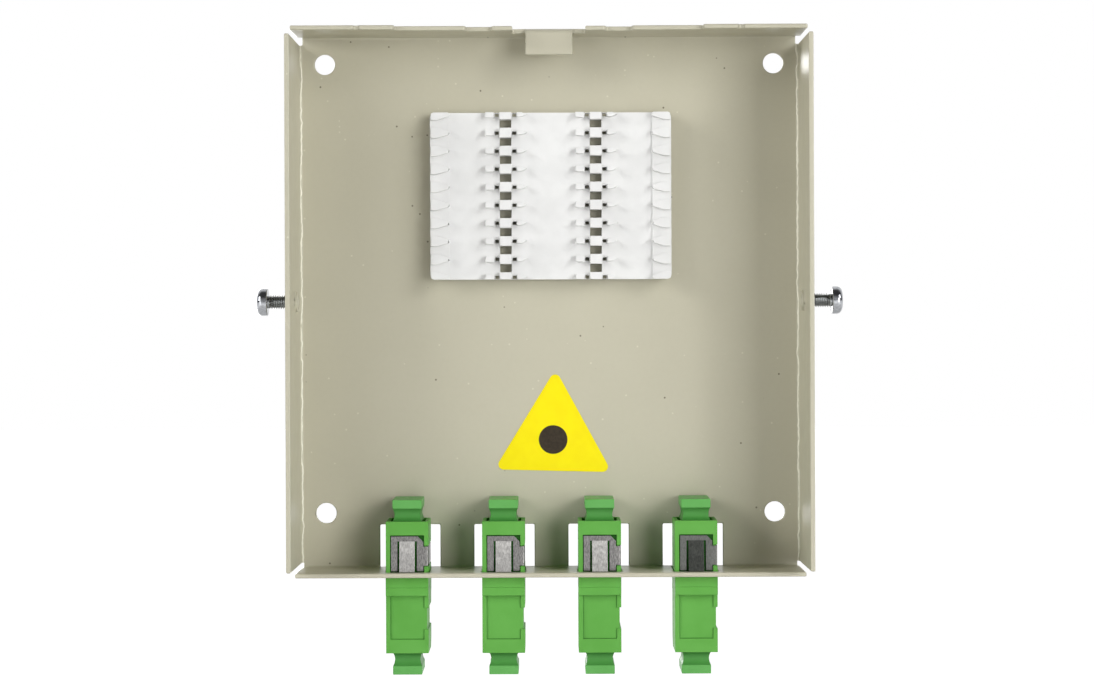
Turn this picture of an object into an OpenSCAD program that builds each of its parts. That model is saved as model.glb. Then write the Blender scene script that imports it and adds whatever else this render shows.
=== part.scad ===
// Wall-mount fibre distribution box, open, in millimetres.
// The wall face of the tray lies at y = 0 and the box reaches towards -Y, with +Z up.
// The origin is the middle of the four wall holes.

/* [Tray] */
// Width of the tray over its side flanges
tray_w = 113; // [104:0.5:140]
// Height of the tray over its top and bottom flanges
tray_h = 120; // [112:0.5:150]
// Depth of the side flanges, from the wall
side_depth = 26; // [22:0.5:35]
// Thickness of the folded sheet
sheet_t = 1; // [0.8:0.1:1.3]
// Inside radius of every fold
bend_r = 0.5; // [0.3:0.1:0.9]
// Metal in front of the adapter cutouts
flange_lip = 2.6; // [2:0.1:6]
// Gap between the side flanges and the top flange
side_gap_top = 1.7; // [1:0.1:4]
// Gap between the side flanges and the bottom flange
side_gap_bottom = 0.95; // [0.7:0.05:3]
// Distance that each end of the top flange stops short of the side face
top_inset = 0.3; // [0.1:0.1:1]
// Distance that each end of the bottom flange stops short of the side face
bottom_inset = 1; // [0.5:0.1:1.4]

/* [Wall holes] */
// Diameter of the wall holes
hole_d = 4.5; // [3:0.1:7]
// Distance from the side face to the wall holes
hole_side = 6.5; // [5.5:0.1:10]
// Distance from the top face to the upper wall holes
hole_top = 7; // [6:0.1:12]
// Distance from the bottom face to the lower wall holes
hole_bottom = 13; // [7:0.1:20]

/* [Cover tab] */
// Width of the folded tab in the top flange
tab_w = 10.4; // [6:0.1:14]
// Height of the folded tab
tab_h = 5.8; // [4:0.1:10]
// Distance from the wall to the front of the folded tab
tab_front = 9.5; // [7:0.1:11]
// Width of the slot at each side of the tab
tab_slot_w = 2.75; // [1:0.05:3.5]

/* [Cover screws] */
// Diameter of the cover screws' thread
thread_d = 3; // [2.5:0.1:4]
// Length of the cover screws under the head
screw_l = 6; // [5:0.5:12]
// Diameter of the screw heads
head_d = 6; // [5:0.1:7]
// Height of the screw heads
head_h = 2.4; // [2:0.1:3]
// Gap between the screw heads and the side flanges
screw_out = 5; // [3.5:0.1:5.4]
// Radial gap between a thread and its tapped hole
thread_gap = 0.05; // [0.02:0.01:0.1]
// Outer diameter of the drawn collar round each tapped hole
collar_d = 4.4; // [4.2:0.1:7]
// Height of the drawn collar inside the flange
collar_rise = 0.7; // [0.3:0.1:1.5]

/* [Splice holder] */
// Distance of the holder's middle from the tray's middle
splice_x = 0.3; // [-5:0.1:5]
// Width of the splice holder
splice_w = 53.5; // [48:0.5:80]
// Height of the splice holder
splice_h = 37; // [25:0.5:60]
// Distance from the holder's back to the tips of its fins
splice_depth = 4; // [3.5:0.1:8]
// Thickness of the holder's floor
splice_floor = 2; // [1.2:0.1:2.5]
// Distance from one row of fins to the next
splice_pitch = 4; // [3.5:0.05:6]
// Distance from the tray's top face to the holder
splice_drop = 18.1; // [12:0.1:30]
// Distance from the holder's middle to each column of hooks
hook_x = 10; // [8:0.1:12]
// Width of the hooks and of the holes between them
hook_w = 2.6; // [1.5:0.05:3]
// Height of each hook
hook_h = 2.15; // [1:0.05:2.4]
// Thickness of the adhesive strips behind the holder
tape_t = 0.8; // [0.4:0.1:1.5]

/* [Sticker] */
// Side of the triangular sticker, between its sharp corners
sticker_side = 26.2; // [15:0.1:40]
// Radius of the sticker's corners
sticker_r = 1.2; // [0.5:0.1:3]
// Thickness of the sticker
sticker_t = 0.15; // [0.1:0.05:0.4]
// Gap between the caps inside the tray and the sticker's lower edge
sticker_gap = 5.5; // [2:0.1:7]
// Distance of the sticker's middle from the tray's middle
sticker_x = 0.8; // [-10:0.1:10]

/* [Adapters] */
// Distance from one adapter to the next
adapter_pitch = 21; // [16:0.5:24]
// Distance of the row's middle from the tray's middle
row_shift = 0.2; // [-3:0.1:3]
// Width of each adapter
adapter_w = 9.3; // [9.2:0.1:11]
// Depth of each adapter, from its back to its front
adapter_d = 12.8; // [12.4:0.1:15]
// Length of each adapter
adapter_l = 28.7; // [28:0.1:32]
// Distance from the wall to the back of the adapters
adapter_back = 1.5; // [1.4:0.1:3]
// Height of the collar from the tray down to the adapter's middle plane
collar_inner_h = 2.3; // [1.8:0.1:2.8]
// Height of the collar below the adapter's middle plane
collar_outer_h = 1.75; // [1.2:0.05:2.5]
// Distance that the collar stands proud of the adapter
collar_out = 0.9; // [0.6:0.1:1.3]
// Gap between an adapter and its cutout
cutout_gap = 0.1; // [0.05:0.05:0.3]
// Width of the connector port
port_w = 7.6; // [7.4:0.1:7.9]
// Depth of the connector port
port_d = 9.2; // [9:0.1:9.6]
// Width of each window behind the adapters
window_w = 13.4; // [10:0.1:15]
// Height of each window behind the adapters
window_h = 9.4; // [9:0.1:14]

/* [Adapter clips] */
// Thickness of the spring steel
clip_t = 0.3; // [0.2:0.05:0.4]
// Width of each cheek of the clip
cheek_w = 7; // [6:0.1:7.2]
// Height on the adapter of the top of each cheek, from its middle plane
cheek_top = 11.15; // [10.5:0.05:12]
// Width of the sprung tongue
tongue_w = 3.35; // [2.5:0.05:4]
// Width of the slit at each side of the tongue
slit_w = 0.45; // [0.3:0.05:0.8]
// Distance that each tongue reaches over the edge of the cutout
tongue_catch = 0.6; // [0.4:0.05:0.9]
// Lower edge of the web, from the middle plane
web_low = 4.7; // [4.2:0.1:5.5]
// Height of the web that joins the cheeks
web_h = 4.2; // [3:0.1:5]

/* [Adapter inside] */
// Outside diameter of the alignment sleeve
sleeve_d = 3.2; // [3:0.1:3.3]
// Bore of the alignment sleeve
sleeve_bore = 2.5; // [2:0.1:2.6]
// Length of the alignment sleeve
sleeve_l = 11.4; // [10:0.1:12]
// Outside diameter of the tube that holds the sleeve
tube_d = 4.2; // [4.1:0.1:4.5]
// Thickness of the retainer's plate
plate_t = 1.5; // [1.2:0.1:1.6]

/* [Dust caps] */
// Width of the lip of each dust cap
cap_w = 6.4; // [6.2:0.1:7.2]
// Depth of the lip of each dust cap
cap_d = 12; // [11.5:0.1:12.4]
// Height of the head of each dust cap
cap_h = 4.7; // [4.4:0.1:8]
// Height of the waist under the lip
waist_h = 2.8; // [2:0.1:3.2]
// Depth of the waist at the narrow sides
waist_in = 0.4; // [0.1:0.05:0.4]
// Depth of the waist at the wide sides
waist_in_front = 0.9; // [0.3:0.05:1]
// Outside diameter of the cap's plug
plug_d = 5.4; // [5.2:0.1:5.5]

/* [Hidden] */
$fn = 48;

// Overrun of every cut past the face that it leaves
cut = 0.5;
// Overlap of pieces of one sheet where they meet
seam = 1;
// Running gap between moulded parts that fit into each other
fit = 0.05;

// Tray
hole_pitch_x = tray_w - 2 * hole_side;
hole_pitch_z = tray_h - hole_top - hole_bottom;
tray_top = hole_pitch_z / 2 + hole_top;
tray_bottom = tray_top - tray_h;
bend_out = bend_r + sheet_t;
end_depth = adapter_back + adapter_d + cutout_gap + flange_lip;
side_low = tray_bottom + sheet_t + side_gap_bottom;
side_high = tray_top - sheet_t - side_gap_top;
screw_y = -(side_depth + sheet_t) / 2;
screw_z = tray_top - tray_h / 2;
// Small chamfer at the steps of the top flange's front edge
step_chamfer = 0.5;
// Places of the steps in that edge, as shares of half the tray's width
step_x_shares = [0.593, 0.319, 0.223];
// Depths of the flange behind those steps, as shares of its full depth
step_depth_shares = [0.871, 0.747, 0.847];
// Half-round drain notches in the front edge of the top flange
drain_d = 1.2;
drain_x_share = 0.74;

// Splice holder
splice_rows = floor(splice_h / splice_pitch) + 1;
splice_z = tray_top - splice_drop - splice_h / 2;
splice_back = sheet_t + tape_t;
splice_corner_r = 1;
// Bullet fins along both edges: length, width and the inset from the edge
bullet_l = 4.1;
bullet_w = 2.35;
bullet_tip_w = 1;
bullet_inset = 0.25;
// Posts, small gaps and pointed fins beside each hook
post_w = 1.9;
post_h = 1.3;
slot_w = 0.85;
slot_h = 0.7;
hook_gap = 0.2;
point_l = 2.2;
point_w = 0.95;
// Raised land between the bullet fins at each edge
land_w = 4.2;
land_rise = 0.5;
// Adhesive strips
tape_w = 9;
tape_margin = 1.5;

// Adapters
adapter_count = 4;
adapter_y = -(adapter_back + adapter_d / 2);
adapter_z = tray_bottom - collar_inner_h;
half_l = adapter_l / 2;
// Depth of the seat that the clip lies in
clip_seat = clip_t + fit;
cheek_gap = 0.2;
cheek_low = collar_inner_h + sheet_t + cheek_gap;
cheek_chamfer = 1.2;
// Solid steel above the tongue
tongue_head = 1.1;
tongue_root = cheek_top - tongue_head;
tongue_low = collar_inner_h + sheet_t + 2 * fit;
tongue_out = adapter_d / 2 + cutout_gap + tongue_catch;
key_w = 3.1;
key_depth = 0.8;
key_l = 7;
// Slope across the back edge of each open end
end_slope_y = 1.5;
end_slope_z = 2.3;

// Adapter inside
sleeve_gap = 0.1;
sleeve_slit = 0.4;
plate_lip = 0.6;
tube_lip = 0.75;
tube_l = sleeve_l / 2 + sleeve_gap + tube_lip;
tube_mouth_d = sleeve_bore + 2 * sleeve_gap;
arm_w = 3.2;
arm_t = 0.8;
arm_y = 3.4;
arm_l = 7;
arm_tooth = 0.3;
arm_tooth_l = 1;

// Dust caps
cap_top = adapter_z + half_l + cap_h;
plug_gap = 0.7;
plug_start = plate_t + plug_gap;
cap_bore = tube_d + 2 * fit;
cap_bore_rise = 1.5;

// Sticker, with its turn clockwise in the front view
sticker_turn = 1.5;
sticker_z = cap_top + sticker_gap + sticker_side / (2 * sqrt(3));

// Cover screws
recess_l = 3.4;
recess_w = 0.75;
recess_depth = 1.4;
recess_tip = 0.9;
dome_h = 1.3;

STEEL_PAINT = [0.72, 0.71, 0.63];
WHITE = [0.94, 0.94, 0.93];
YELLOW = [0.98, 0.86, 0.05];
ZINC = [0.75, 0.76, 0.78];
GREEN = [0.41, 0.69, 0.31];
CREAM = [0.9, 0.88, 0.8];
FOAM = [0.85, 0.85, 0.85];

// Place along X of adapter 0 to 3
function adapter_x(i) = row_shift + (i - (adapter_count - 1) / 2) * adapter_pitch;

// Radius of an arc that is half_h high to each side of its middle and rises by depth
function arc_r(half_h, depth) = (half_h * half_h + depth * depth) / (2 * depth);

// Folded corner of the sheet, with its sharp outer corner at the origin
module fold(leg_a, leg_b) {
    translate([bend_out, 0]) square([leg_a - bend_out, sheet_t]);
    translate([0, bend_out]) square([sheet_t, leg_b - bend_out]);
    translate([bend_out, bend_out]) intersection() {
        difference() {
            circle(r = bend_out);
            circle(r = bend_r);
        }
        translate([-bend_out, -bend_out]) square(bend_out);
    }
}

// Front edge of one half of the top flange, from its end to the tab
function top_edge(fx) =
    let (x = step_x_shares * tray_w / 2, d = -step_depth_shares * end_depth, c = step_chamfer)
    [[fx, -bend_out], [fx, -end_depth],
     [x[0] + c, -end_depth], [x[0], -end_depth + c], [x[0], d[0]],
     [x[1] + c, d[0]], [x[1], d[0] + c], [x[1], d[1]],
     [x[2], d[1]], [x[2], d[2] + c], [x[2] - c, d[2]],
     [tab_w / 2 + tab_slot_w, d[2]], [tab_w / 2 + tab_slot_w, bend_out - tab_front],
     [0, bend_out - tab_front], [0, -bend_out]];

module top_flange() {
    half_w = tray_w / 2;
    rotate([90, 0, 90]) translate([0, 0, bend_out - half_w]) linear_extrude(2 * (half_w - bend_out))
        translate([0, tray_top]) rotate(180) fold(bend_out + seam, bend_out + seam);
    difference() {
        translate([0, 0, tray_top - sheet_t]) linear_extrude(sheet_t) {
            polygon(top_edge(half_w - top_inset));
            mirror([1, 0]) polygon(top_edge(half_w - top_inset));
        }
        for (side = [-1, 1])
            translate([side * drain_x_share * half_w, -end_depth, tray_top - sheet_t - cut])
                cylinder(d = drain_d, h = sheet_t + 2 * cut);
    }
    rotate([90, 0, 90]) translate([0, 0, -tab_w / 2]) linear_extrude(tab_w)
        translate([-tab_front, tray_top]) mirror([0, 1]) fold(bend_out + seam, tab_h);
}

module bottom_flange() {
    half_w = tray_w / 2;
    rotate([90, 0, 90]) translate([0, 0, bend_out - half_w]) linear_extrude(2 * (half_w - bend_out))
        translate([0, tray_bottom]) rotate(180) mirror([0, 1]) fold(bend_out + seam, bend_out + seam);
    translate([bottom_inset - half_w, -end_depth, tray_bottom])
        cube([2 * (half_w - bottom_inset), end_depth - bend_out, sheet_t]);
}

module side_flange() {
    translate([tray_w / 2, 0, side_low]) rotate(180) linear_extrude(side_high - side_low)
        fold(bend_out + seam, side_depth);
    translate([tray_w / 2 - sheet_t - collar_rise, screw_y, screw_z]) rotate([0, 90, 0])
        cylinder(d = collar_d, h = sheet_t / 2 + collar_rise);
}

module back_tray() {
    half_w = tray_w / 2;
    color(STEEL_PAINT) difference() {
        union() {
            translate([bend_out - half_w, -sheet_t, tray_bottom + bend_out])
                cube([2 * (half_w - bend_out), sheet_t, tray_h - 2 * bend_out]);
            top_flange();
            bottom_flange();
            side_flange();
            mirror([1, 0, 0]) side_flange();
        }
        for (x = [-1, 1], z = [-1, 1])
            translate([x * hole_pitch_x / 2, cut, z * hole_pitch_z / 2]) rotate([90, 0, 0])
                cylinder(d = hole_d, h = sheet_t + 2 * cut);
        for (x = [-1, 1])
            translate([x * half_w, screw_y, screw_z]) rotate([0, 90, 0])
                cylinder(d = thread_d + 2 * thread_gap, h = 4 * (sheet_t + collar_rise), center = true);
        for (i = [0 : adapter_count - 1]) {
            translate([adapter_x(i) - window_w / 2, -bend_out, tray_bottom + sheet_t])
                cube([window_w, bend_out + cut, window_h]);
            translate([adapter_x(i), adapter_y, tray_bottom + sheet_t / 2])
                cube([adapter_w + 2 * cutout_gap, adapter_d + 2 * cutout_gap, sheet_t + cut], center = true);
        }
    }
}

// Fin at the left edge of the holder, blunt and narrower towards the middle
module bullet_fin() {
    tip_r = bullet_tip_w / 2;
    polygon([[0, -bullet_w / 2], [bullet_l / 3, -bullet_w / 2], [bullet_l - tip_r, -tip_r],
        [bullet_l - tip_r, tip_r], [bullet_l / 3, bullet_w / 2], [0, bullet_w / 2]]);
    translate([bullet_l - tip_r, 0]) circle(r = tip_r);
}

// Post, hook and pointed fin of one row, with the hook at the origin
module hook_group() {
    square([hook_w, hook_h], center = true);
    translate([-hook_w / 2 - 2 * hook_gap - slot_w - post_w, -post_h / 2]) square([post_w, post_h]);
    translate([hook_w / 2 + 2 * hook_gap + slot_w, 0])
        polygon([[0, -point_w / 2], [point_l / 2, -point_w / 2], [point_l, 0], [point_l / 2, point_w / 2],
            [0, point_w / 2]]);
}

// Rounded rectangle about the origin
module rounded_plate(w, h, r) {
    square([w - 2 * r, h], center = true);
    square([w, h - 2 * r], center = true);
    for (x = [-1, 1], z = [-1, 1]) translate([x * (w / 2 - r), z * (h / 2 - r)]) circle(r = r);
}

module splice_holder() {
    half_w = splice_w / 2;
    row_z = [for (k = [0 : splice_rows - 1]) (k - (splice_rows - 1) / 2) * splice_pitch];
    color(WHITE) translate([splice_x, -splice_back, splice_z]) rotate([90, 0, 0]) {
        difference() {
            union() {
                linear_extrude(splice_floor) rounded_plate(splice_w, splice_h, splice_corner_r);
                for (side = [0, 1]) mirror([side, 0]) translate([-half_w, -splice_h / 2 + splice_corner_r])
                    cube([land_w, splice_h - 2 * splice_corner_r, splice_floor + land_rise]);
            }
            for (k = [0 : splice_rows - 2], x = [-hook_x, hook_x])
                translate([x - hook_w / 2, row_z[k] + hook_h / 2, -cut])
                    cube([hook_w, splice_pitch - hook_h, splice_floor + 2 * cut]);
            for (z = row_z, x = [-hook_x, hook_x], side = [-1, 1])
                translate([x + side * (hook_w / 2 + hook_gap + slot_w / 2), z, splice_floor / 2])
                    cube([slot_w, slot_h, splice_floor + 2 * cut], center = true);
        }
        linear_extrude(splice_depth) intersection() {
            rounded_plate(splice_w, splice_h, splice_corner_r);
            for (z = row_z) {
                for (side = [0, 1]) mirror([side, 0])
                    translate([bullet_inset - half_w, z]) bullet_fin();
                for (x = [-hook_x, hook_x]) translate([x, z]) hook_group();
            }
        }
    }
}

module splice_holder_tape() {
    tape_h = splice_h - 2 * tape_margin;
    strip_x = (splice_w - tape_w) / 2 - tape_margin;
    color(FOAM) for (x = [-strip_x, 0, strip_x])
        translate([splice_x + x - tape_w / 2, -splice_back, splice_z - tape_h / 2]) cube([tape_w, tape_t, tape_h]);
}

module sticker() {
    // Corner circles lie on the sharp triangle's bisectors, two radii from each sharp corner
    corner_reach = sticker_side / sqrt(3) - 2 * sticker_r;
    color(YELLOW) translate([sticker_x, -sheet_t, sticker_z]) rotate([90, 0, 0])
        rotate(-sticker_turn) linear_extrude(sticker_t) {
            for (a = [90, 210, 330]) rotate(a) translate([corner_reach, 0]) circle(r = sticker_r);
            polygon([for (a = [90, 210, 330], b = [-60, 60])
                [corner_reach * cos(a) + sticker_r * cos(a + b),
                 corner_reach * sin(a) + sticker_r * sin(a + b)]]);
        }
}

// Screw along +X with the underside of its head at the origin
module cover_screw() {
    dome_r = arc_r(head_d / 2, dome_h);
    rotate([0, 90, 0]) {
        translate([0, 0, -screw_l]) cylinder(d = thread_d, h = screw_l + head_h / 4);
        difference() {
            intersection() {
                cylinder(d = head_d, h = head_h);
                translate([0, 0, head_h - dome_r]) sphere(r = dome_r, $fn = 96);
            }
            for (turn = [0, 90]) rotate(turn) rotate([90, 0, 0])
                linear_extrude(recess_w, center = true)
                    polygon([[-recess_tip / 2, head_h - recess_depth], [recess_tip / 2, head_h - recess_depth],
                        [recess_l / 2, head_h], [recess_l / 2, head_h + cut],
                        [-recess_l / 2, head_h + cut], [-recess_l / 2, head_h]]);
        }
    }
}

module cover_screw_left() {
    color(ZINC) mirror([1, 0, 0]) translate([tray_w / 2 + screw_out, screw_y, screw_z]) cover_screw();
}

module cover_screw_right() {
    color(ZINC) translate([tray_w / 2 + screw_out, screw_y, screw_z]) cover_screw();
}

// One half of an adapter, from its middle plane to its open end along +Z
module place_half(i, outer) {
    translate([adapter_x(i), adapter_y, adapter_z]) mirror([0, 0, outer ? 1 : 0]) children();
}

module housing(i, outer) {
    band = web_h + 2 * cheek_gap;
    collar = outer ? collar_outer_h : collar_inner_h;
    color(GREEN) place_half(i, outer) difference() {
        union() {
            translate([-adapter_w / 2, -adapter_d / 2, 0]) cube([adapter_w, adapter_d, half_l]);
            translate([-adapter_w / 2, -adapter_d / 2 - collar_out, 0])
                cube([adapter_w, adapter_d + 2 * collar_out, collar]);
        }
        translate([-port_w / 2, -port_d / 2, -cut]) cube([port_w, port_d, half_l + 2 * cut]);
        translate([-port_w / 2, -port_d / 2 - plate_lip, -cut])
            cube([port_w, port_d + 2 * plate_lip, plate_t + cut]);
        translate([-key_w / 2, 0, half_l - key_l]) cube([key_w, port_d / 2 + key_depth, key_l + cut]);
        for (side = [-1, 1]) {
            translate([-cheek_w / 2 - cheek_gap, side * adapter_d / 2 - clip_seat, collar])
                cube([cheek_w + 2 * cheek_gap, 2 * clip_seat, cheek_top + cheek_gap - collar]);
            translate([0, side * adapter_d / 2 - clip_seat, web_low - cheek_gap])
                cube([adapter_w / 2 + cut, 2 * clip_seat, band]);
        }
        translate([adapter_w / 2 - clip_seat, -adapter_d / 2 - cut, web_low - cheek_gap])
            cube([clip_seat + cut, adapter_d + 2 * cut, band]);
        rotate([90, 0, 90]) translate([0, 0, -adapter_w]) linear_extrude(2 * adapter_w)
            polygon([[adapter_d / 2 + cut, half_l - end_slope_z], [adapter_d / 2, half_l - end_slope_z],
                [adapter_d / 2 - end_slope_y, half_l], [adapter_d / 2 - end_slope_y, half_l + cut],
                [adapter_d / 2 + cut, half_l + cut]]);
    }
}

// Front cheek of the clip with its tongue, lying on the floor of its seat
module clip_cheek() {
    floor_y = adapter_d / 2 - clip_seat;
    web_x = adapter_w / 2 - clip_seat;
    half_w = cheek_w / 2;
    difference() {
        translate([0, -floor_y, 0]) rotate([90, 0, 0]) linear_extrude(clip_t) {
            polygon([[-half_w, cheek_low], [half_w, cheek_low], [half_w, cheek_top - cheek_chamfer],
                [half_w - cheek_chamfer, cheek_top], [-half_w, cheek_top]]);
            translate([0, web_low]) square([web_x, web_h]);
        }
        translate([-tongue_w / 2 - slit_w, -adapter_d, cheek_low - cut])
            cube([tongue_w + 2 * slit_w, adapter_d, tongue_root - cheek_low + cut]);
    }
    rotate([90, 0, 90]) translate([0, 0, -tongue_w / 2]) linear_extrude(tongue_w)
        polygon([[-floor_y, tongue_root + clip_t], [-floor_y - clip_t, tongue_root + clip_t],
            [-floor_y - clip_t, tongue_root], [-tongue_out - clip_t, tongue_low],
            [-tongue_out, tongue_low], [-floor_y, tongue_root]]);
}

module clip(i) {
    floor_y = adapter_d / 2 - clip_seat;
    web_x = adapter_w / 2 - clip_seat;
    color(ZINC) place_half(i, false) {
        clip_cheek();
        mirror([0, 1, 0]) clip_cheek();
        translate([0, 0, web_low]) linear_extrude(web_h) {
            translate([web_x, -floor_y]) square([clip_t, 2 * floor_y]);
            for (side = [-1, 1]) intersection() {
                translate([web_x, side * floor_y]) circle(r = clip_t);
                translate([web_x, side * (floor_y + clip_t / 2) - clip_t / 2]) square([clip_t, clip_t]);
            }
        }
    }
}

module retainer(i, outer) {
    color(CREAM) place_half(i, outer) {
        difference() {
            union() {
                translate([fit - port_w / 2, fit - port_d / 2 - plate_lip, 0])
                    cube([port_w - 2 * fit, port_d + 2 * (plate_lip - fit), plate_t - fit]);
                cylinder(d = tube_d, h = tube_l);
            }
            translate([0, 0, -cut]) cylinder(d = sleeve_d + 2 * sleeve_gap, h = tube_l - tube_lip + cut);
            translate([0, 0, -cut]) cylinder(d = tube_mouth_d, h = tube_l + 2 * cut);
        }
        for (side = [0, 1]) mirror([0, side, 0]) rotate([90, 0, 90])
            translate([0, 0, -arm_w / 2]) linear_extrude(arm_w)
                polygon([[arm_y, plate_t / 2], [arm_y + arm_t, plate_t / 2], [arm_y + arm_t, plate_t + arm_l],
                    [arm_y, plate_t + arm_l], [arm_y - arm_tooth, plate_t + arm_l - arm_tooth_l / 2],
                    [arm_y - arm_tooth, plate_t + arm_l - arm_tooth_l], [arm_y, plate_t + arm_l - arm_tooth_l]]);
    }
}

module sleeve(i) {
    color(WHITE) place_half(i, false) difference() {
        cylinder(d = sleeve_d, h = sleeve_l, center = true);
        cylinder(d = sleeve_bore, h = sleeve_l + 2 * cut, center = true);
        translate([0, -sleeve_slit / 2, -sleeve_l / 2 - cut]) cube([sleeve_d, sleeve_slit, sleeve_l + 2 * cut]);
    }
}

// Outline of a cap's head with a hollow waist at each side
module waist_outline(w, depth) {
    r = arc_r(waist_h / 2, depth);
    difference() {
        translate([-w / 2, 0]) square([w, cap_h]);
        for (side = [-1, 1]) translate([side * (w / 2 - depth + r), waist_h / 2]) circle(r = r, $fn = 96);
    }
}

module cap(i, outer) {
    color(GREEN) place_half(i, outer) difference() {
        union() {
            translate([0, 0, plug_start]) cylinder(d = plug_d, h = half_l - plug_start + cap_h / 2);
            translate([0, 0, half_l]) intersection() {
                translate([0, cap_d / 2, 0]) rotate([90, 0, 0]) linear_extrude(cap_d)
                    waist_outline(cap_w, waist_in);
                translate([-cap_w / 2, 0, 0]) rotate([90, 0, 90]) linear_extrude(cap_w)
                    waist_outline(cap_d, waist_in_front);
            }
        }
        translate([0, 0, plug_start - cut]) cylinder(d = cap_bore, h = half_l - plug_start + cut + cap_bore_rise);
    }
}

back_tray();
splice_holder();
splice_holder_tape();
sticker();
cover_screw_left();
cover_screw_right();
for (i = [0 : adapter_count - 1]) {
    name = str("adapter_", i + 1);
    housing(i, false);
    housing(i, true);
    clip(i);
    retainer(i, false);
    retainer(i, true);
    sleeve(i);
    cap(i, false);
    cap(i, true);
}
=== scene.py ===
import math

import bmesh
import bpy
from mathutils import Matrix, Vector


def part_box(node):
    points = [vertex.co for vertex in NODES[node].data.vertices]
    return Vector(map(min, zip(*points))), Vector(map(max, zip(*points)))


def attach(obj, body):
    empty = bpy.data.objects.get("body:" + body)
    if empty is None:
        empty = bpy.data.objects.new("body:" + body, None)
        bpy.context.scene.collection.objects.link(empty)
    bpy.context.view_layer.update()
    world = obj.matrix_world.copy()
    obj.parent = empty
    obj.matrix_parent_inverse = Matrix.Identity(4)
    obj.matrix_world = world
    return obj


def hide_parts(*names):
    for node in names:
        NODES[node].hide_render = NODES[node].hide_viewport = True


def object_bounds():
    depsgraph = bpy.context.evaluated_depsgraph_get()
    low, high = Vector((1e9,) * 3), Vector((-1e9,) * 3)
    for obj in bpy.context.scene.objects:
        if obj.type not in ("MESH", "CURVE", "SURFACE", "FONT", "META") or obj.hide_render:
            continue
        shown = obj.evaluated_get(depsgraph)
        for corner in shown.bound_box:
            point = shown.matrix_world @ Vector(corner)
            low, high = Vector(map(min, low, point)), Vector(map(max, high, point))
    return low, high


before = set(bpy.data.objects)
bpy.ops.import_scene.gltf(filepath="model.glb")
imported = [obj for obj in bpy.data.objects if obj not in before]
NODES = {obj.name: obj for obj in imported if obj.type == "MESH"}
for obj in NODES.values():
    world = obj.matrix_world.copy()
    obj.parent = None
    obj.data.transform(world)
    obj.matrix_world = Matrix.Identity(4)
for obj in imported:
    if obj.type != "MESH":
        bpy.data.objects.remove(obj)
cad_low, cad_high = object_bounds()

MM = 0.001
ADAPTERS = range(1, 5)

# Sizes of what the materials draw, in millimetres

SOFT = 0.1
# Two of the coat's sizes give the width of a painted highlight along the inside bends.
COAT = {"bend": 1.2, "wander": 1.1, "painted_highlight": 0.08, "painted_highlight_edge": 0.18, "front": 2.0, "back": 0.5,
        "dark_cell": 1.7, "light_cell": 1.3, "relief": 0.003}
SEAT = {"floor": 6.07, "half": 3.7, "start": 1.8, "end": 11.3, "band_low": 4.5, "band_high": 9.1,
        "line_far": 0.18, "line_near": 0.06}
WAIST = {"start": 2.7, "end": 2.95, "deep": 0.2, "shallow": 1.0}
TONGUE = {"half": 1.66, "half_edge": 1.74, "fade": 0.1, "height": 10.05}
DISC_RADIUS = 3.15
FLOW_DEPTH = 0.01
GRAIN_DEPTH = 0.003
ROLLED_DEPTH = 0.004

# Sizes of the cover screws, in millimetres, and how finely they are drawn

HEAD = {"radius": 3.0, "height": 2.4, "rim": 1.1, "face": 1.7, "crown": 0.08, "edge": 0.18, "seat": 1.62}
THREAD = {"pitch": 0.5, "crest": 1.5, "root": 1.19, "length": 6.0, "plain": 0.35, "undercut": 0.12,
          "run_in": 0.3, "tip": 0.45, "tip_slope": 0.9, "root_share": 0.1, "flank_share": 0.75}
RECESS = {"depth": 1.55, "above": 0.3, "bottom_reach": 0.75, "top_reach": 1.95, "half_width": 0.42,
          "taper_share": 0.75}
AROUND = 48
STEPS_ALONG = 132

# Rounding of the CAD meshes

WELD_DISTANCE = 0.001 * MM
EDGE_ANGLE = math.radians(30)
PLANAR_ANGLE = math.radians(0.5)
THREAD_ANGLE = math.radians(35)
SEGMENTS = 3

# Light and camera. A lamp has an azimuth and an elevation in degrees and a power in watts.

LAMP_DISTANCE = 1.2
LAMP_SIZE = 0.5
LAMPS = {
    "key": (33, 2, 5.7),
    "right_high": (51, 24, 5.3),
    "left_high": (-60, 22, 6.6),
    "left": (-40, 0, 1.8),
    "back": (200, 8, 5.0),
}
ROOM = {"dark": 0.05, "front": 0.5, "ambient": 0.015}
FLOOR = {"size": 12, "drop": 0.2, "near": 0.3, "far": 1.2, "near_glow": 0.35}
CAMERA = {"lens": 84.83, "shift": (-0.0030, -0.0275), "place": (0.0001, -0.576, -0.0071), "roll": 0.22}


# Colours and materials

def rgb(r, g, b):
    """Linear colour from one written as 0 to 255 on the screen's scale."""
    def linear(c):
        c /= 255
        return c / 12.92 if c <= 0.04045 else ((c + 0.055) / 1.055) ** 2.4
    return (linear(r), linear(g), linear(b), 1.0)


def metres(sizes):
    return {name: size * MM for name, size in sizes.items()}


def add_node(tree, kind, inputs=None, **settings):
    """New node in a tree, with each input given as a value or as the socket that feeds it."""
    made = tree.nodes.new(kind)
    for key, value in settings.items():
        setattr(made, key, value)
    for key, value in (inputs or {}).items():
        if isinstance(value, bpy.types.NodeSocket):
            tree.links.new(value, made.inputs[key])
        else:
            made.inputs[key].default_value = value
    return made


def math_node(tree, operation, a, b=0.0):
    return add_node(tree, "ShaderNodeMath", {0: a, 1: b}, operation=operation).outputs[0]


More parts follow.
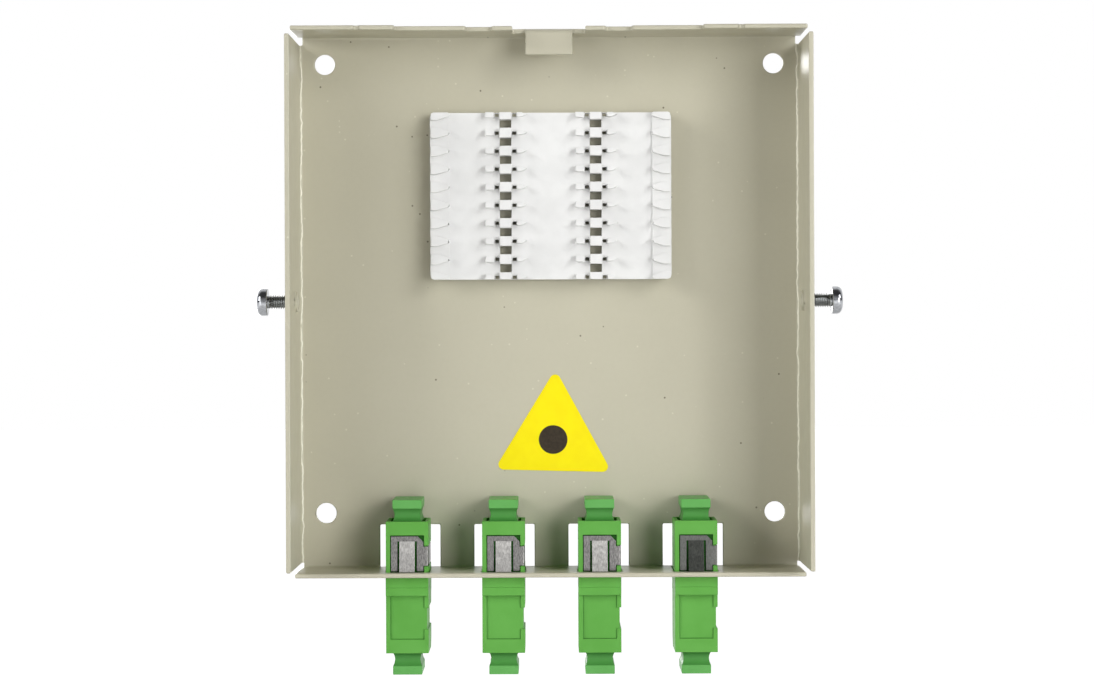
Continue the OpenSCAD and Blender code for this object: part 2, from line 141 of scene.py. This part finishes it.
class Graph:
    """A material under construction, with its textures laid out in the shared frame."""

    def __init__(self, name, **settings):
        self.material = bpy.data.materials.new(name)
        self.material.use_nodes = True
        self.tree = self.material.node_tree
        self.shader = self.tree.nodes["Principled BSDF"]
        for socket, value in settings.items():
            self.shader.inputs[socket.replace("_", " ")].default_value = value
        self.place = self.node("ShaderNodeTexCoord").outputs["Object"]

    def node(self, kind, inputs=None, **settings):
        return add_node(self.tree, kind, inputs, **settings)

    def axes(self):
        return self.node("ShaderNodeSeparateXYZ", {0: self.place}).outputs

    def vector(self, operation, a, b=(0.0, 0.0, 0.0)):
        return self.node("ShaderNodeVectorMath", {0: a, 1: b}, operation=operation).outputs

    def stretch(self, x, y, z):
        return self.vector("MULTIPLY", self.place, (x, y, z))[0]

    def noise(self, scale, detail=2.0, rough=0.5, place=None):
        inputs = {"Vector": place or self.place, "Scale": scale, "Detail": detail, "Roughness": rough}
        return self.node("ShaderNodeTexNoise", inputs).outputs[0]

    def math(self, operation, a, b=0.0):
        return math_node(self.tree, operation, a, b)

    def both(self, a, b):
        return self.math("MULTIPLY", a, b)

    def span(self, value, low, high, out_low=0.0, out_high=1.0):
        inputs = {"Value": value, "From Min": low, "From Max": high, "To Min": out_low, "To Max": out_high}
        return self.node("ShaderNodeMapRange", inputs, interpolation_type="SMOOTHSTEP").outputs[0]

    def patches(self, scale, detail, low=0.0, high=1.0):
        """Soft patches that run from low to high. A larger scale makes them smaller."""
        return self.span(self.noise(scale, detail), 0.3, 0.7, low, high)

    def beyond(self, value, edge):
        """0 up to the edge, and 1 past the soft stretch that follows it."""
        return self.span(value, edge, edge + SOFT * MM)

    def within(self, value, edge):
        """1 up to the edge, and 0 past the soft stretch that follows it."""
        return self.span(value, edge, edge + SOFT * MM, 1.0, 0.0)

    def blend(self, share, a, b):
        return self.node("ShaderNodeMix", {0: share, 6: a, 7: b}, data_type="RGBA").outputs[2]

    def dots(self, cell, radius, share):
        """Sparse dots on cells in metres: their radius as a share of a cell, and the share of cells used."""
        found = self.node("ShaderNodeTexVoronoi", {"Vector": self.place, "Scale": 1 / cell})
        chance = self.node("ShaderNodeSeparateColor", {0: found.outputs["Color"]}).outputs[0]
        near = self.span(found.outputs["Distance"], 0.4 * radius, radius, 1.0, 0.0)
        return self.both(near, self.math("LESS_THAN", chance, share))

    def from_middle(self, axis, middle, pitch):
        """Signed distance from the nearest of a row of places, a pitch apart, with one of them at middle."""
        turn = self.math("ADD", self.math("DIVIDE", self.math("SUBTRACT", axis, middle), pitch), 0.5)
        return self.both(self.math("SUBTRACT", self.math("FRACT", turn), 0.5), pitch)

    def bump(self, height, depth, before=None):
        """Relief of that depth in metres."""
        inputs = {"Height": height, "Distance": depth, "Strength": 1.0}
        if before is not None:
            inputs["Normal"] = before
        return self.node("ShaderNodeBump", inputs).outputs[0]

    def join(self, socket, value):
        self.tree.links.new(value, self.shader.inputs[socket])

    def mould(self, colour, rough, grain=GRAIN_DEPTH):
        """Finishes moulded plastic: colour, roughness round a middle, fine grain and faint flow marks."""
        self.join("Base Color", colour)
        self.join("Roughness", self.patches(900, 2, rough - 0.05, rough + 0.05))
        flow = self.bump(self.noise(260, 1), FLOW_DEPTH * MM)
        self.join("Normal", self.bump(self.noise(5200, 2), grain * MM, flow))
        return self.material


def powder_coat(bend_x):
    """Speckled paint, with a painted highlight along the two upright inside bends, at bend_x from the middle.
    """
    c = metres(COAT)
    g = Graph("powder_coat", Specular_IOR_Level=0.5)
    tone = g.blend(g.patches(28, 3), rgb(192, 188, 168), rgb(196, 192, 172))
    mottle = g.blend(g.span(g.noise(900, 3), 0.3, 0.8, 0.0, 0.1), tone, rgb(182, 178, 157))
    dark = g.dots(c["dark_cell"], 0.17, 0.035)
    # Pale specks: raised in the relief, and also painted paler as painted glints.
    light = g.dots(c["light_cell"], 0.22, 0.05)
    speckled = g.blend(g.both(light, 0.5), mottle, rgb(226, 223, 205))
    axes = g.axes()
    wobble = g.both(g.math("SUBTRACT", g.noise(330, 2), 0.5), c["wander"])
    across = g.math("ADD", g.math("ABSOLUTE", axes["X"]), wobble)
    off_bend = g.math("ABSOLUTE", g.math("SUBTRACT", across, bend_x))
    before_back = g.math("LESS_THAN", axes["Y"], -c["back"])
    inside = g.both(g.math("GREATER_THAN", axes["Y"], -c["front"]), before_back)
    # Painted highlight: a pale, wavering line along each upright inside bend, where the bends catch the
    # light.
    painted_highlight = g.both(g.span(off_bend, c["painted_highlight"], c["painted_highlight_edge"], 0.7, 0.0), inside)
    highlighted = g.blend(painted_highlight, speckled, rgb(250, 248, 232))
    g.join("Base Color", g.blend(dark, highlighted, rgb(110, 104, 84)))
    g.join("Roughness", g.patches(300, 2, 0.32, 0.37))
    peel = g.bump(g.noise(420, 1), c["relief"])
    g.join("Normal", g.bump(g.math("ADD", light, g.noise(2600, 2)), c["relief"], peel))
    return g.material


def moulded(name, low, high, rough, grain=GRAIN_DEPTH):
    """Moulded plastic in two close tones."""
    g = Graph(name, Specular_IOR_Level=0.5)
    return g.mould(g.blend(g.patches(160, 3), low, high), rough, grain)


def housing_green(low, high, painted_shade_colour, middle, pitch, depth_middle, seam):
    """Moulded green, with painted shade in the slits of the clips and painted shade lines along the borders
    of the seats below the seam.
    """
    s = metres(SEAT)
    g = Graph("adapter_green", Specular_IOR_Level=0.12)
    axes = g.axes()
    side = g.from_middle(axes["X"], middle, pitch)
    off = g.math("ABSOLUTE", side)
    up = g.math("SUBTRACT", axes["Z"], seam)
    away = g.math("ABSOLUTE", up)
    depth = g.math("ABSOLUTE", g.math("SUBTRACT", axes["Y"], depth_middle))

    def line(value, edge):
        return g.span(value, edge - s["line_far"], edge - s["line_near"])

    along = g.both(g.beyond(away, s["start"]), g.within(away, s["end"]))
    seat = g.both(g.both(g.within(depth, s["floor"]), along), g.within(off, s["half"]))
    # Painted shade in the slits of the clips.
    shaded_slit = g.both(seat, g.math("GREATER_THAN", up, 0.0))
    band = g.both(g.math("GREATER_THAN", away, s["band_low"]), g.math("LESS_THAN", away, s["band_high"]))
    walled = g.math("SUBTRACT", 1.0, g.both(band, g.math("GREATER_THAN", side, 0.0)))
    # Painted shade in thin lines along the seat borders.
    lines = g.math("MAXIMUM", g.both(line(off, s["half"]), walled), line(away, s["end"]))
    border_shade = g.both(g.both(lines, seat), 0.6)
    tone = g.blend(g.patches(160, 3), low, high)
    return g.mould(g.blend(g.math("MAXIMUM", shaded_slit, border_shade), tone, painted_shade_colour), 0.45)


def cap_green(low, high, painted_waist_shade, seats):
    """Moulded green, with painted shade round the concave waists, which lie beyond the two seats along Z."""
    w = metres(WAIST)
    g = Graph("cap_green", Specular_IOR_Level=0.25)
    z = g.axes()["Z"]
    out = g.math("MAXIMUM", g.math("SUBTRACT", z, seats[1]), g.math("SUBTRACT", seats[0], z))
    # Painted shade over the waists, strongest next to the housing ends.
    inside = g.span(out, w["start"], w["end"], 1.0, 0.0)
    shade = g.both(inside, g.span(out, w["deep"], w["shallow"], 1.0, 0.72))
    return g.mould(g.blend(shade, g.blend(g.patches(160, 3), low, high), painted_waist_shade), 0.42)


def foam():
    g = Graph("foam_tape", Roughness=0.85)
    cells = g.noise(2400, 2)
    g.join("Base Color", g.blend(g.span(cells, 0.35, 0.65), rgb(196, 196, 192), rgb(226, 226, 222)))
    g.join("Normal", g.bump(cells, 0.08 * MM))
    return g.material


def vinyl(centre):
    """Plain yellow vinyl with a plain dark disc in its middle."""
    g = Graph("sticker_vinyl", Specular_IOR_Level=0.3)
    flat = g.vector("MULTIPLY", g.vector("SUBTRACT", g.place, centre)[0], (1.0, 0.0, 1.0))[0]
    disc = g.within(g.vector("LENGTH", flat)["Value"], DISC_RADIUS * MM)
    yellow = g.blend(g.patches(300, 2), rgb(251, 231, 0), rgb(254, 236, 4))
    ink = g.blend(g.patches(1500, 2), rgb(42, 33, 20), rgb(54, 44, 30))
    g.join("Base Color", g.blend(disc, yellow, ink))
    g.join("Roughness", g.patches(700, 2, 0.3, 0.4))
    g.join("Normal", g.bump(g.noise(400, 2), 0.006 * MM))
    return g.material


def zinc(head_tones, thread_tones, under_head):
    """Plated steel, darker on the threads. The heads begin at under_head from the middle."""
    g = Graph("zinc_plate", Metallic=1.0)
    lines = g.noise(1.0, 3, 0.6, g.stretch(1500, 3000, 3000))
    share = g.span(lines, 0.3, 0.7)
    head = g.math("GREATER_THAN", g.math("ABSOLUTE", g.axes()["X"]), under_head - 0.02 * MM)
    g.join("Base Color", g.blend(head, g.blend(share, *thread_tones), g.blend(share, *head_tones)))
    g.join("Roughness", g.patches(1200, 2, 0.1, 0.22))
    g.join("Normal", g.bump(lines, ROLLED_DEPTH * MM))
    return g.material


def spring_steel(name, frame_tones, tongue_painted_tones, middle, pitch, root):
    """Rolled spring steel. The sprung tongues, a pitch apart along X and below root, have their own tones:
    painted light and shade for how light falls on their slope.
    """
    t = metres(TONGUE)
    g = Graph(name, Metallic=1.0)
    lines = g.noise(1.0, 4, 0.65, g.stretch(4200, 4200, 1500))
    share = g.span(lines, 0.3, 0.7)
    axes = g.axes()
    off = g.math("ABSOLUTE", g.from_middle(axes["X"], middle, pitch))
    # Painted light and shade on the sloped tongues.
    painted_tongue = g.both(g.span(off, t["half"], t["half_edge"], 1.0, 0.0),
                    g.span(axes["Z"], root - t["fade"], root + t["fade"], 1.0, 0.0))
    g.join("Base Color", g.blend(painted_tongue, g.blend(share, *frame_tones), g.blend(share, *tongue_painted_tones)))
    g.join("Roughness", g.patches(1200, 2, 0.28, 0.4))
    g.join("Normal", g.bump(lines, ROLLED_DEPTH * MM))
    return g.material


# Modifiers on the CAD meshes

def cleaner(name, above=None, before=None):
    """Node group that welds the imported mesh, shades it smooth up to an edge angle and marks edges to round.
    Where a height or a depth is given, only edges above that height or before that depth are rounded."""
    group = bpy.data.node_groups.new(name, "GeometryNodeTree")
    group.interface.new_socket("Geometry", in_out="INPUT", socket_type="NodeSocketGeometry")
    group.interface.new_socket("Geometry", in_out="OUTPUT", socket_type="NodeSocketGeometry")
    add, link = group.nodes.new, group.links.new
    start, end = add("NodeGroupInput"), add("NodeGroupOutput")
    weld = add("GeometryNodeMergeByDistance")
    weld.inputs["Distance"].default_value = WELD_DISTANCE
    drop = add("GeometryNodeRemoveAttribute")
    drop.inputs["Name"].default_value = "custom_normal"
    smooth = add("GeometryNodeSetShadeSmooth")
    smooth.domain = "FACE"
    sharp = add("GeometryNodeSetShadeSmooth")
    sharp.domain = "EDGE"
    sharp.inputs["Shade Smooth"].default_value = False
    angle = add("GeometryNodeInputMeshEdgeAngle")
    position = add("ShaderNodeSeparateXYZ")
    link(add("GeometryNodeInputPosition").outputs[0], position.inputs[0])

    def compare(value, operation, limit):
        test = add("FunctionNodeCompare")
        test.operation = operation
        test.inputs[1].default_value = limit
        link(value, test.inputs[0])
        return test.outputs[0]

    def combine(operation, a, b):
        joined = add("FunctionNodeBooleanMath")
        joined.operation = operation
        link(a, joined.inputs[0])
        link(b, joined.inputs[1])
        return joined.outputs[0]

    over = compare(angle.outputs["Unsigned Angle"], "GREATER_THAN", EDGE_ANGLE)
    places = []
    if above is not None:
        places.append(compare(position.outputs["Z"], "GREATER_THAN", above))
    if before is not None:
        places.append(compare(position.outputs["Y"], "LESS_THAN", before))
    rounded = over
    if places:
        rounded = combine("AND", over, combine("OR", places[0], places[-1]))
    link(start.outputs[0], weld.inputs["Geometry"])
    link(weld.outputs["Geometry"], drop.inputs["Geometry"])
    link(drop.outputs["Geometry"], smooth.inputs["Geometry"])
    link(smooth.outputs["Geometry"], sharp.inputs["Geometry"])
    link(over, sharp.inputs["Selection"])
    weight = add("GeometryNodeStoreNamedAttribute")
    weight.data_type = "FLOAT"
    weight.domain = "EDGE"
    weight.inputs["Name"].default_value = "bevel_weight_edge"
    link(sharp.outputs["Geometry"], weight.inputs["Geometry"])
    link(rounded, weight.inputs["Value"])
    link(weight.outputs["Geometry"], end.inputs[0])
    return group


tray_low, tray_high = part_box("back_tray")
fin_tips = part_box("splice_holder")[0].y
CLEANER = cleaner("weld_and_shade")
CLEANERS = {
    "back_tray": cleaner("weld_and_shade_tray", tray_low.z + 2.6 * MM, tray_high.y - 1.7 * MM),
    "splice_holder": cleaner("weld_and_shade_holder", before=fin_tips + 0.1 * MM),
}


def soften(obj, width):
    """Rounds the edges of a CAD node by a width in millimetres. Flat faces are joined first, but not the
    holder's, because the bevel tears its pierced floor when that is a single face."""
    clean = obj.modifiers.new("weld", "NODES")
    clean.node_group = CLEANERS.get(obj.name, CLEANER)
    if obj.name != "splice_holder":
        planar = obj.modifiers.new("planar", "DECIMATE")
        planar.decimate_type = "DISSOLVE"
        planar.angle_limit = PLANAR_ANGLE
    bevel = obj.modifiers.new("edges", "BEVEL")
    bevel.width = width * MM
    bevel.segments = SEGMENTS
    bevel.limit_method = "WEIGHT"
    bevel.use_clamp_overlap = False
    bevel.harden_normals = True


def paint(obj, material):
    obj.data.materials.clear()
    obj.data.materials.append(material)


GREEN = (rgb(96, 165, 72), rgb(102, 171, 78))
CAP_GREEN = (rgb(95, 166, 84), rgb(101, 172, 90))
sticker_low, sticker_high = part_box("sticker")
sticker_middle = Vector((
    (sticker_low.x + sticker_high.x) / 2, 0,
    sticker_low.z + (sticker_high.z - sticker_low.z) / 3))
first_low, first_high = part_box("adapter_1_housing_inner")
second_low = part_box("adapter_2_housing_inner")[0]
outer_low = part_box("adapter_1_housing_outer")[0]
ROW = ((first_low.x + first_high.x) / 2, second_low.x - first_low.x)
CLIP_PLACES = (*ROW, first_low.z + TONGUE["height"] * MM)
under_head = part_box("cover_screw_right")[1].x - HEAD["height"] * MM
MATERIALS = {
    "paint": powder_coat(tray_high.x - COAT["bend"] * MM),
    "white": moulded("holder_white", rgb(227, 227, 226), rgb(235, 235, 234), 0.42),
    "foam": foam(),
    "vinyl": vinyl(sticker_middle),
    "zinc": zinc((rgb(160, 162, 166), rgb(186, 188, 192)), (rgb(140, 142, 142), rgb(168, 170, 170)),
                 under_head),
    # The clips' tongues are painted in brighter tones as a painted highlight.
    "spring": spring_steel("spring_steel", (rgb(106, 105, 104), rgb(150, 148, 146)),
                           (rgb(172, 170, 167), rgb(214, 212, 209)), *CLIP_PLACES),
    # A darker copy of the clip steel, painted shade for the fourth clip.
    "spring_shaded": spring_steel("spring_steel_shaded", (rgb(92, 93, 90), rgb(112, 113, 110)),
                                (rgb(62, 64, 61), rgb(80, 82, 78)), *CLIP_PLACES),
    # The dark green 26, 80, 18 is painted shade for the slits and the seat borders.
    "adapter": housing_green(*GREEN, rgb(26, 80, 18), *ROW, (first_low.y + first_high.y) / 2, first_low.z),
    # The darker green 62, 128, 54 is painted shade for the cap waists.
    "cap": cap_green(*CAP_GREEN, rgb(62, 128, 54), (outer_low.z, first_high.z)),
    "cream": moulded("retainer_cream", rgb(222, 214, 190), rgb(232, 225, 203), 0.45),
    "ceramic": moulded("sleeve_ceramic", rgb(238, 236, 230), rgb(246, 245, 240), 0.2, 0.001),
}

# Each CAD node's material and the width of its rounded edges in millimetres

LOOKS = {
    "back_tray": ("paint", 0.3),
    "splice_holder": ("white", 0.05),
    "splice_holder_tape": ("foam", 0.1),
    "sticker": ("vinyl", 0.03),
}
for n in ADAPTERS:
    LOOKS.update({
        f"adapter_{n}_housing_inner": ("adapter", 0.09),
        f"adapter_{n}_housing_outer": ("adapter", 0.09),
        # The fourth clip takes the darker copy of the steel, as painted shade.
        f"adapter_{n}_clip": ("spring" if n < 4 else "spring_shaded", 0.05),
        f"adapter_{n}_retainer_inner": ("cream", 0.1),
        f"adapter_{n}_retainer_outer": ("cream", 0.1),
        f"adapter_{n}_sleeve": ("ceramic", 0.05),
        f"adapter_{n}_cap_inner": ("cap", 0.15),
        f"adapter_{n}_cap_outer": ("cap", 0.15),
    })
for name, (look, width) in LOOKS.items():
    paint(NODES[name], MATERIALS[look])
    soften(NODES[name], width)


# Cover screws with a real thread

def thread_radius(along, turn):
    """Radius of the thread at a distance under the head, for an angle given as a share of a turn."""
    t = THREAD
    wave = abs(2 * ((along / t["pitch"] - turn) % 1.0) - 1.0)
    shape = min(1.0, max(0.0, (wave - t["root_share"]) / t["flank_share"]))
    radius = t["root"] + (t["crest"] - t["root"]) * shape
    neck = t["crest"] - t["undercut"]
    if along < t["plain"]:
        return neck
    ease = min(1.0, (along - t["plain"]) / t["run_in"])
    radius = neck * (1 - ease) + radius * ease
    left = t["length"] - along
    if left < t["tip"]:
        radius = min(radius, t["crest"] - (t["tip"] - left) * t["tip_slope"])
    return radius


def quarter_turn(steps):
    """Angles of a quarter turn in equal steps, without the first."""
    return [math.pi / 2 / steps * k for k in range(1, steps + 1)]


def head_profile():
    """Radius and height of the pan head's outline, from the shank to the middle of its nearly flat face."""
    h = HEAD
    points = [(h["seat"], 0.0), (h["radius"] - h["edge"], 0.0)]
    points += [(h["radius"] - h["edge"] * (1 - math.sin(a)), h["edge"] * (1 - math.cos(a)))
               for a in quarter_turn(4)]
    points += [(h["radius"], 0.5 * h["rim"]), (h["radius"], h["rim"])]
    shoulder = h["height"] - h["rim"] - h["crown"]
    points += [(h["face"] + (h["radius"] - h["face"]) * math.cos(a), h["rim"] + shoulder * math.sin(a))
               for a in quarter_turn(10)]
    points += [(h["face"] * f, h["height"] - h["crown"] * f * f) for f in (0.75, 0.5, 0.25)]
    return points


def skin(bm, low, high):
    """Faces between two rings of as many vertices."""
    for j in range(len(low)):
        k = (j + 1) % len(low)
        bm.faces.new((low[j], low[k], high[k], high[j]))


def finished_mesh(bm, name):
    bmesh.ops.recalc_face_normals(bm, faces=bm.faces)
    mesh = bpy.data.meshes.new(name)
    bm.to_mesh(mesh)
    bm.free()
    return mesh


def screw_mesh(name):
    """A pan-head screw along +X, with the underside of its head at the origin, in millimetres."""
    bm = bmesh.new()
    rows = []
    for k in range(STEPS_ALONG, -1, -1):
        along = THREAD["length"] * k / STEPS_ALONG
        rows.append((-along, [thread_radius(along, j / AROUND) for j in range(AROUND)]))
    rows.append((0.0, [THREAD["crest"]] * AROUND))
    rows += [(height, [radius] * AROUND) for radius, height in head_profile()]
    angles = [2 * math.pi * j / AROUND for j in range(AROUND)]
    rings = [[bm.verts.new((x, r * math.cos(a), r * math.sin(a))) for r, a in zip(radii, angles)]
             for x, radii in rows]
    for low, high in zip(rings, rings[1:]):
        skin(bm, low, high)
    for ring, x in ((rings[0], -THREAD["length"]), (rings[-1], HEAD["height"])):
        centre = bm.verts.new((x, 0, 0))
        for j in range(AROUND):
            bm.faces.new((ring[j], ring[(j + 1) % AROUND], centre))
    return finished_mesh(bm, name)


def recess_cutter():
    """Two crossed blades that narrow towards the bottom, as the tip of a cross driver does."""
    r = RECESS
    bm = bmesh.new()
    ends = ((HEAD["height"] - r["depth"], r["bottom_reach"], r["half_width"] * r["taper_share"]),
            (HEAD["height"] + r["above"], r["top_reach"], r["half_width"]))
    for crossed in (False, True):
        rings = []
        for x, reach, w in ends:
            corners = [(-reach, -w), (reach, -w), (reach, w), (-reach, w)]
            rings.append([bm.verts.new((x, -b, a) if crossed else (x, a, b)) for a, b in corners])
        low, high = rings
        bm.faces.new(low[::-1])
        bm.faces.new(high)
        skin(bm, low, high)
    return bpy.data.objects.new("recess_cutter", finished_mesh(bm, "recess_cutter"))


def settle(obj):
    """Applies every modifier by taking the evaluated mesh."""
    bpy.context.view_layer.update()
    result = bpy.data.meshes.new_from_object(obj.evaluated_get(bpy.context.evaluated_depsgraph_get()))
    obj.modifiers.clear()
    obj.data = result


def make_screws():
    base = bpy.data.objects.new("screw_base", screw_mesh("screw_base"))
    cutter = recess_cutter()
    for o in (base, cutter):
        bpy.context.scene.collection.objects.link(o)
    cut = base.modifiers.new("recess", "BOOLEAN")
    cut.operation = "DIFFERENCE"
    cut.solver = "EXACT"
    cut.use_self = True
    cut.object = cutter
    settle(base)
    bm = bmesh.new()
    bm.from_mesh(base.data)
    bmesh.ops.remove_doubles(bm, verts=bm.verts, dist=0.002)
    for face in bm.faces:
        face.smooth = True
    for edge in bm.edges:
        edge.smooth = len(edge.link_faces) == 2 and edge.calc_face_angle() < THREAD_ANGLE
    bm.to_mesh(base.data)
    bm.free()
    for side, sign in (("left", -1), ("right", 1)):
        node = f"cover_screw_{side}"
        low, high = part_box(node)
        screw = bpy.data.objects.new(f"screw_{side}", base.data.copy())
        bpy.context.scene.collection.objects.link(screw)
        seat_x = (low.x if sign < 0 else high.x) - sign * HEAD["height"] * MM
        screw.data.transform(Matrix.Translation((seat_x, (low.y + high.y) / 2, (low.z + high.z) / 2))
                             @ Matrix.Rotation(0 if sign > 0 else math.pi, 4, "Z") @ Matrix.Scale(MM, 4))
        paint(screw, MATERIALS["zinc"])
        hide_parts(node)
        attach(screw, node)
    for o in (base, cutter):
        bpy.data.objects.remove(o)


make_screws()


# Floor, light and camera

def plane(name, size, place):
    mesh = bpy.data.meshes.new(name)
    s = size / 2
    mesh.from_pydata([(-s, -s, 0), (s, -s, 0), (s, s, 0), (-s, s, 0)], [], [(0, 1, 2, 3)])
    obj = bpy.data.objects.new(name, mesh)
    obj.location = place
    bpy.context.scene.collection.objects.link(obj)
    return obj


def seen_directly(tree, glossy_share=1.0):
    """1 for camera and transmission rays, the share for glossy ones and 0 for light that falls on things."""
    path = add_node(tree, "ShaderNodeLightPath").outputs
    glossy = math_node(tree, "MULTIPLY", path["Is Glossy Ray"], glossy_share)
    eye = math_node(tree, "MAXIMUM", path["Is Camera Ray"], path["Is Transmission Ray"])
    return math_node(tree, "MAXIMUM", eye, glossy)


def make_floor():
    """Pale floor that takes shadows and looks white far from the box."""
    floor = plane("floor", FLOOR["size"], (0, 0, cad_low.z - FLOOR["drop"]))
    g = Graph("pale_floor", Roughness=0.9)
    g.shader.inputs["Base Color"].default_value = rgb(236, 236, 234)
    spread = g.vector("LENGTH", g.place)["Value"]
    lift = g.span(spread, FLOOR["near"], FLOOR["far"], FLOOR["near_glow"], 1.0)
    glow = g.node("ShaderNodeEmission", {"Strength": g.both(lift, seen_directly(g.tree))})
    both = g.node("ShaderNodeAddShader", {0: g.shader.outputs[0], 1: glow.outputs[0]})
    g.tree.links.new(both.outputs[0], g.tree.nodes["Material Output"].inputs["Surface"])
    paint(floor, g.material)


def make_world():
    """White behind the box. Shiny things also see a dark room before it, with a light round the camera."""
    world = bpy.data.worlds.new("studio")
    bpy.context.scene.world = world
    world.use_nodes = True
    tree = world.node_tree
    place = add_node(tree, "ShaderNodeTexCoord").outputs["Generated"]
    y = add_node(tree, "ShaderNodeSeparateXYZ", {0: place}).outputs["Y"]

    def span(value, low, high, out_low, out_high):
        inputs = {"Value": value, "From Min": low, "From Max": high, "To Min": out_low, "To Max": out_high}
        return add_node(tree, "ShaderNodeMapRange", inputs).outputs[0]

    behind = span(y, 0.0, 0.5, ROOM["dark"], 1.0)
    in_front = span(y, -0.98, -0.75, ROOM["front"], ROOM["dark"])
    room = math_node(tree, "MAXIMUM", behind, in_front)
    back = tree.nodes["Background"]
    back.inputs["Color"].default_value = (1, 1, 1, 1)
    tree.links.new(span(seen_directly(tree, room), 0.0, 1.0, ROOM["ambient"], 1.0), back.inputs["Strength"])


def lamp(name, azimuth, elevation, power):
    """A soft square lamp that looks at the box. Azimuth 0 stands before it and 90 to its right."""
    data = bpy.data.lights.new(name, "AREA")
    data.shape = "SQUARE"
    data.size = LAMP_SIZE
    data.energy = power
    obj = bpy.data.objects.new(name, data)
    a, e = math.radians(azimuth), math.radians(elevation)
    away = Vector((math.sin(a) * math.cos(e), -math.cos(a) * math.cos(e), math.sin(e)))
    obj.location = away * LAMP_DISTANCE
    obj.rotation_mode = "QUATERNION"
    obj.rotation_quaternion = away.to_track_quat("Z", "Y")
    obj.visible_camera = False
    bpy.context.scene.collection.objects.link(obj)


def make_camera():
    data = bpy.data.cameras.new("camera")
    data.sensor_width = 36.0
    data.lens = CAMERA["lens"]
    data.shift_x, data.shift_y = CAMERA["shift"]
    data.clip_start = 0.01
    camera = bpy.data.objects.new("camera", data)
    camera.location = CAMERA["place"]
    camera.rotation_euler = (math.pi / 2, math.radians(CAMERA["roll"]), 0)
    bpy.context.scene.collection.objects.link(camera)
    bpy.context.scene.camera = camera


make_floor()
make_world()
for name, (azimuth, elevation, power) in LAMPS.items():
    lamp(name, azimuth, elevation, power)
make_camera()
bpy.context.scene.view_settings.view_transform = "Standard"
